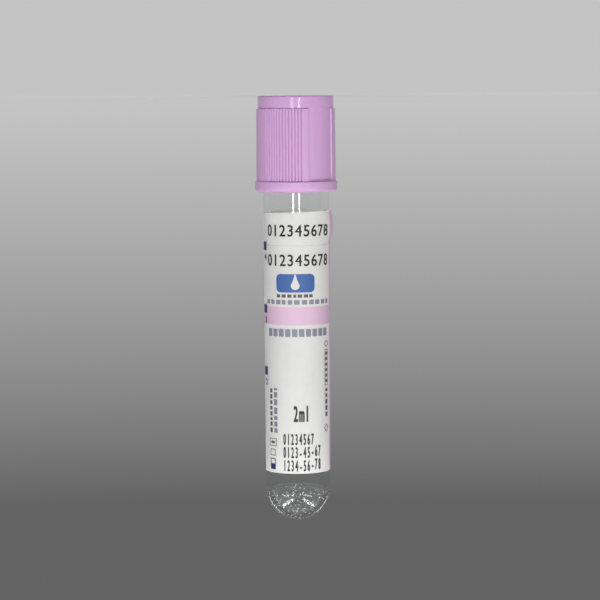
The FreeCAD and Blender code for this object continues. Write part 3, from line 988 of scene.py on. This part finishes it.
class BuildStage(bpy.types.Operator):
    """Sets up the pale floor, the lamps, the world and the camera"""
    bl_idname = "blood_tube.build_stage"
    bl_label = "Stage"

    BACKDROP = "C4C4C4"         # the backdrop where it meets the floor
    BACKDROP_HIGH = "646464"    # and above the object
    BOARD = "C6C6C6"            # the floor
    ROOM_LIGHT = 0.20
    LENS, SENSOR = 137.8, 36.0  # millimetres
    EYE = Vector((-0.0006, -0.45, 0.002))
    AIM = Vector((-0.0006, 0, HEIGHT * MM - 0.0435))
    ROLL = 179.59               # degrees: the tube stands on its cap and is shown cap up

    # ends of the strip lamps on the right, their width in metres and their power in watts
    STRIPS = (("strip", (0.118, -0.60, -0.005), (0.118, -0.60, 0.131), 0.018, 0.36),
              ("low_strip", (0.17, -0.57, 0.25), (0.50, -0.28, 0.31), 0.032, 0.85),
              ("high_strip", (0.16, -0.45, 0.38), (0.36, 0.02, 0.50), 0.032, 0.85),
              ("back_strip", (0.348, 0.45, 0.257), (0.21, 0.45, 0.453), 0.05, 0.11))

    def execute(self, context):
        self.add_floor()
        self.add_lamps()
        self.set_world(context.scene)
        self.add_camera(context.scene)
        context.scene.view_settings.view_transform = "Standard"
        return {"FINISHED"}

    def seen_rays(self, tree):
        """1 for camera, mirror and glass rays, which see the plain backdrop, and else 0."""
        rays = add_node(tree, "ShaderNodeLightPath")
        seen = rays.outputs["Is Camera Ray"]
        for kind in ("Is Glossy Ray", "Is Transmission Ray"):
            seen = add_node(tree, "ShaderNodeMath", {"operation": "MAXIMUM"},
                            {0: seen, 1: rays.outputs[kind]}).outputs[0]
        return seen

    def add_floor(self):
        """A matt board that glows in the backdrop's tone, less so near the object."""
        bm = bmesh.new()
        bmesh.ops.create_grid(bm, x_segments=1, y_segments=1, size=4.0)
        material, tree, shader = new_material("matt_board")
        set_shader(shader, Base_Color=(*linear(self.BOARD), 1), Roughness=0.9)
        place = add_node(tree, "ShaderNodeTexCoord")
        away = add_node(tree, "ShaderNodeVectorMath", {"operation": "LENGTH"},
                        {0: place.outputs["Object"]})
        # the glow is half at 3 cm from the axis, where the shadow lies, and whole at 12 cm
        plain = add_node(tree, "ShaderNodeMapRange",
                         {"interpolation_type": "SMOOTHSTEP", "From Min": 0.03,
                          "From Max": 0.12, "To Min": 0.5, "To Max": 1.0},
                         {"Value": away.outputs["Value"]})
        share = add_node(tree, "ShaderNodeMath", {"operation": "MULTIPLY"},
                         {0: self.seen_rays(tree), 1: plain.outputs["Result"]})
        glow = add_node(tree, "ShaderNodeEmission", {"Color": (*linear(self.BACKDROP), 1)})
        mixed = add_node(tree, "ShaderNodeMixShader", {},
                         {0: share.outputs[0], 1: shader.outputs[0], 2: glow.outputs[0]})
        tree.links.new(mixed.outputs[0], tree.nodes["Material Output"].inputs["Surface"])
        mesh = new_mesh(bm, "floor")
        mesh.materials.append(material)
        floor = new_object("floor", mesh)

    def add_lamps(self):
        """Two softboxes that light the object, and strips that only show in its gloss."""
        for name, place, power in (("softbox", -1.30, 27.5), ("rear_softbox", 1.30, 16.0)):
            self.add_lamp(name, (-0.8, place, 0.95), (0.8, place, 0.95), 1.1, power)
        for name, side in (("left", -1), ("right", 1)):
            for part, start, end, wide, power in self.STRIPS:
                self.add_lamp(f"{name}_{part}", (side * start[0], *start[1:]),
                              (side * end[0], *end[1:]), wide, power)

    def add_lamp(self, name, start, end, wide, power):
        """A lamp from one point to another, its face turned to the object."""
        start, end = Vector(start), Vector(end)
        place, along = (start + end) / 2, (end - start).normalized()
        back = place - Vector((0, 0, 0.05))     # away from the object's middle
        back = (back - back.dot(along) * along).normalized()
        lamp = bpy.data.lights.new(name, "AREA")
        lamp.shape = "RECTANGLE"
        lamp.size, lamp.size_y, lamp.energy = (end - start).length, wide, power
        holder = new_object(name, lamp)
        holder.location = place
        turned = Matrix((along, back.cross(along), back)).transposed()
        holder.rotation_euler = turned.to_euler()
        holder.visible_camera = False
        soft = name.endswith("softbox")
        holder.visible_diffuse = soft
        holder.visible_glossy = not soft
        holder.visible_transmission = not soft and not name.endswith("back_strip")

    def set_world(self, scene):
        """Even room light, and a backdrop that darkens upwards where the eye meets it."""
        world = bpy.data.worlds.new("studio")
        scene.world = world
        world.use_nodes = True
        tree = world.node_tree
        tree.nodes.clear()
        place = add_node(tree, "ShaderNodeTexCoord")
        way = add_node(tree, "ShaderNodeSeparateXYZ", {}, {"Vector": place.outputs["Generated"]})
        # from the horizon to ten degrees above it
        fall = add_node(tree, "ShaderNodeMapRange", {"From Min": 0.0, "From Max": 0.17},
                        {"Value": way.outputs["Z"]})
        tone = add_node(tree, "ShaderNodeMix",
                        {"data_type": "RGBA", 6: (*linear(self.BACKDROP), 1),
                         7: (*linear(self.BACKDROP_HIGH), 1)}, {0: fall.outputs["Result"]})
        light = add_node(tree, "ShaderNodeBackground",
                         {"Color": (1, 1, 1, 1), "Strength": self.ROOM_LIGHT})
        backdrop = add_node(tree, "ShaderNodeBackground", {"Strength": 1.0},
                            {"Color": tone.outputs[2]})
        mixed = add_node(tree, "ShaderNodeMixShader", {},
                         {0: self.seen_rays(tree), 1: light.outputs[0], 2: backdrop.outputs[0]})
        add_node(tree, "ShaderNodeOutputWorld", {}, {"Surface": mixed.outputs[0]})

    def add_camera(self, scene):
        """A long lens just above the floor that looks up at the tube."""
        data = bpy.data.cameras.new("camera")
        data.lens, data.sensor_width = self.LENS, self.SENSOR
        data.clip_start = 0.01
        camera = new_object("camera", data)
        camera.location = self.EYE
        look = (self.AIM - self.EYE).to_track_quat("-Z", "Y").to_matrix()
        roll = Matrix.Rotation(math.radians(self.ROLL), 3, "Z")
        camera.rotation_euler = (look @ roll).to_euler()
        scene.camera = camera


# ---------- panel and start

GROUPS = {"tube_sizes": TubeSizes, "cap_sizes": CapSizes, "label_sizes": LabelSizes,
          "tube_colours": Colours}
STEPS = [BuildTube, BuildDroplets, BuildStopper, BuildCap, BuildLabel, BuildSticker,
         BuildPinkPrint, BuildBluePrint, BuildScale, BuildSmallPrint, BuildNumbers, BuildStage]


class TubePanel(bpy.types.Panel):
    """Lists the sizes, the colours and the steps that build the tube"""
    bl_idname = "VIEW3D_PT_blood_tube"
    bl_label = "Blood collection tube"
    bl_space_type = "VIEW_3D"
    bl_region_type = "UI"
    bl_category = "Tube"

    def draw(self, context):
        for name, group in GROUPS.items():
            box = self.layout.box()
            for key in group.__annotations__:
                box.prop(getattr(context.scene, name), key)
        for step in STEPS:
            self.layout.operator(step.bl_idname)


def register():
    """Makes the groups, steps and panel known, and puts the groups on the scene."""
    for cls in (*GROUPS.values(), *STEPS, TubePanel):
        bpy.utils.register_class(cls)
    for name, group in GROUPS.items():
        setattr(bpy.types.Scene, name, bpy.props.PointerProperty(type=group))


def unregister():
    """Takes the groups, steps and panel off again."""
    for name in GROUPS:
        delattr(bpy.types.Scene, name)
    for cls in (TubePanel, *reversed(STEPS), *reversed(GROUPS.values())):
        bpy.utils.unregister_class(cls)


def main():
    """Makes the groups, steps and panel known, and builds the tube and its stage."""
    register()
    for step in STEPS:
        group, name = step.bl_idname.split(".")
        getattr(getattr(bpy.ops, group), name)()


if __name__ == "__main__":
    main()
